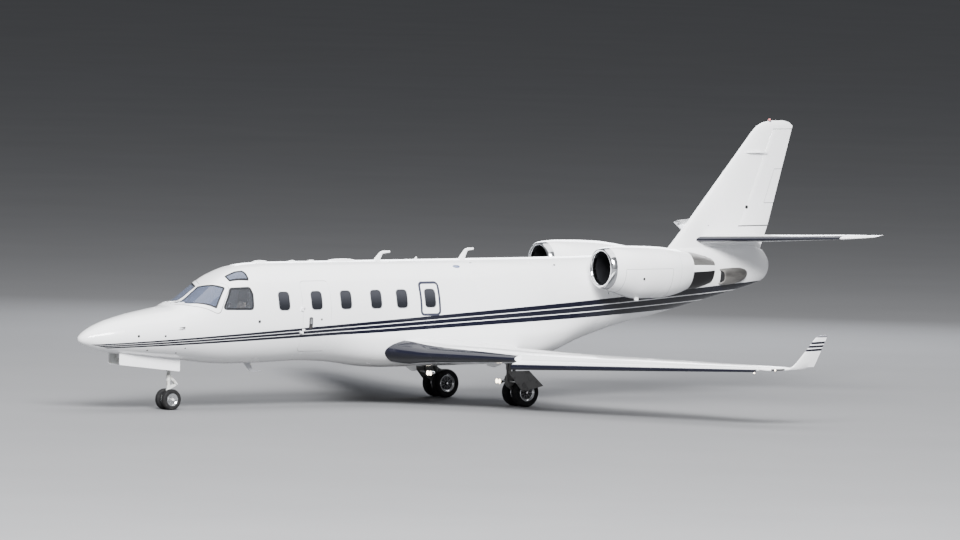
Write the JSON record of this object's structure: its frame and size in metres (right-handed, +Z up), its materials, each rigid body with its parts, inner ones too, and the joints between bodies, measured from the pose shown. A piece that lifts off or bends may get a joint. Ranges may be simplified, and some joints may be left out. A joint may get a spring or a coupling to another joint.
{
  "type": "business jet",
  "caption": "Low-wing business jet with winglets, rear-mounted turbofans, low tailplane on the fin root and twin-wheel tricycle landing gear.",
  "frame": {"origin": "ground level at mid length and mid span, under the middle of the bounding box", "axes": "+X from the nose towards the tail, +Y towards the right wing tip, +Z up"},
  "size_m": [16.94, 16.6366, 5.54],
  "materials": {
    "white_paint": "gloss",
    "dark_boot": "satin",
    "polished_lip": "polished",
    "hot_metal": "satin",
    "gear_metal": "satin",
    "fan_metal": "satin",
    "wheel": "matte",
    "cockpit_glass": "polished",
    "smoked_glass": "polished",
    "lining": "matte",
    "panel_black": "matte",
    "seat_leather": "satin"
  },
  "bodies": {
    "airframe": {"radome": "white_paint", "nose_section": "white_paint", "cockpit_section": "white_paint", "cabin_section": "white_paint", "aft_fuselage": "white_paint", "belly_fairing": "white_paint", "windshield_left": "cockpit_glass", "windshield_right": "cockpit_glass", "side_window_left": "cockpit_glass", "side_window_right": "cockpit_glass", "front_window_left": "smoked_glass", "cabin_glazing_left": "smoked_glass", "cabin_glazing_right": "smoked_glass", "exit_left": "white_paint", "exit_right": "white_paint", "cabin_floor": "lining", "instrument_panel": "panel_black", "crew_seats": "seat_leather", "cabin_seats": "seat_leather", "wing_left": "white_paint", "wing_right": "white_paint", "slat_left": "dark_boot", "slat_right": "dark_boot", "flap_left": "white_paint", "flap_right": "white_paint", "fin": "white_paint", "tailplane": "white_paint", "pylon_left": "white_paint", "pylon_right": "white_paint", "nacelle_left": "white_paint", "nacelle_right": "white_paint", "inlet_lip_left": "polished_lip", "inlet_lip_right": "polished_lip", "engine_core_left": "fan_metal", "engine_core_right": "fan_metal", "reverser_left": "hot_metal", "reverser_right": "hot_metal", "tail_scoop": "gear_metal", "crown_aerial": "white_paint", "nose_leg": "gear_metal", "nose_gear_door_left": "white_paint", "nose_gear_door_right": "white_paint", "main_leg_left": "gear_metal", "main_leg_right": "gear_metal", "main_gear_door_left": "white_paint", "main_gear_door_right": "white_paint"},
    "nose_steering": {"nose_fork": "gear_metal"},
    "nose_wheel_pair": {"nose_wheels": "wheel"},
    "main_wheel_pair_left": {"main_wheels_left": "wheel"},
    "main_wheel_pair_right": {"main_wheels_right": "wheel"},
    "fan_rotor_left": {"fan_left": "fan_metal"},
    "fan_rotor_right": {"fan_right": "fan_metal"},
    "entry_door": {"cabin_door": "white_paint", "door_window": "smoked_glass"},
    "rudder_surface": {"rudder": "white_paint"},
    "elevator_surface_left": {"elevator_left": "white_paint"},
    "elevator_surface_right": {"elevator_right": "white_paint"},
    "aileron_surface_left": {"aileron_left": "white_paint"},
    "aileron_surface_right": {"aileron_right": "white_paint"}
  },
  "joints": [
    {"name": "nose_steer", "type": "hinge", "parent": "airframe", "child": "nose_steering", "pos_m": [-6.38, 0, 0.203], "axis": [0, 0, 1], "range_deg": [-60, 60]},
    {"name": "nose_wheel_roll", "type": "hinge", "parent": "nose_steering", "child": "nose_wheel_pair", "pos_m": [-6.38, 0, 0.203], "axis": [0, 1, 0], "continuous": true},
    {"name": "main_wheel_roll_left", "type": "hinge", "parent": "airframe", "child": "main_wheel_pair_left", "pos_m": [0.98, -1.385, 0.284], "axis": [0, 1, 0], "continuous": true},
    {"name": "main_wheel_roll_right", "type": "hinge", "parent": "airframe", "child": "main_wheel_pair_right", "pos_m": [0.98, 1.385, 0.284], "axis": [0, 1, 0], "continuous": true},
    {"name": "fan_spin_left", "type": "hinge", "parent": "airframe", "child": "fan_rotor_left", "pos_m": [3.55, -1.08, 2.67], "axis": [1, 0, 0], "continuous": true},
    {"name": "fan_spin_right", "type": "hinge", "parent": "airframe", "child": "fan_rotor_right", "pos_m": [3.55, 1.08, 2.67], "axis": [1, 0, 0], "continuous": true},
    {"name": "door_swing", "type": "hinge", "parent": "airframe", "child": "entry_door", "pos_m": [-3.795, -0.8, 1.805], "axis": [0, 0, -1], "range_deg": [0, 95]},
    {"name": "rudder_turn", "type": "hinge", "parent": "airframe", "child": "rudder_surface", "pos_m": [7.56768, 0, 4.35], "axis": [0.3904, 0, 0.9207], "range_deg": [-20, 20]},
    {"name": "elevator_tilt_left", "type": "hinge", "parent": "airframe", "child": "elevator_surface_left", "pos_m": [7.60202, -1.5, 3.2324], "axis": [-0.3427, 0.9372, -0.0655], "range_deg": [-20, 15]},
    {"name": "elevator_tilt_right", "type": "hinge", "parent": "airframe", "child": "elevator_surface_right", "pos_m": [7.60202, 1.5, 3.2324], "axis": [0.3427, 0.9372, 0.0655], "range_deg": [-20, 15]},
    {"name": "aileron_tilt_left", "type": "hinge", "parent": "airframe", "child": "aileron_surface_left", "pos_m": [2.1527, -6.53, 1.13409], "axis": [-0.289, 0.9573, -0.0109], "range_deg": [-20, 20]},
    {"name": "aileron_tilt_right", "type": "hinge", "parent": "airframe", "child": "aileron_surface_right", "pos_m": [2.1527, 6.53, 1.13409], "axis": [0.289, 0.9573, 0.0109], "range_deg": [-20, 20]}
  ],
  "couplings": [
    {"joint": "elevator_tilt_right", "follows": "elevator_tilt_left", "ratio": 1},
    {"joint": "aileron_tilt_right", "follows": "aileron_tilt_left", "ratio": -1}
  ]
}
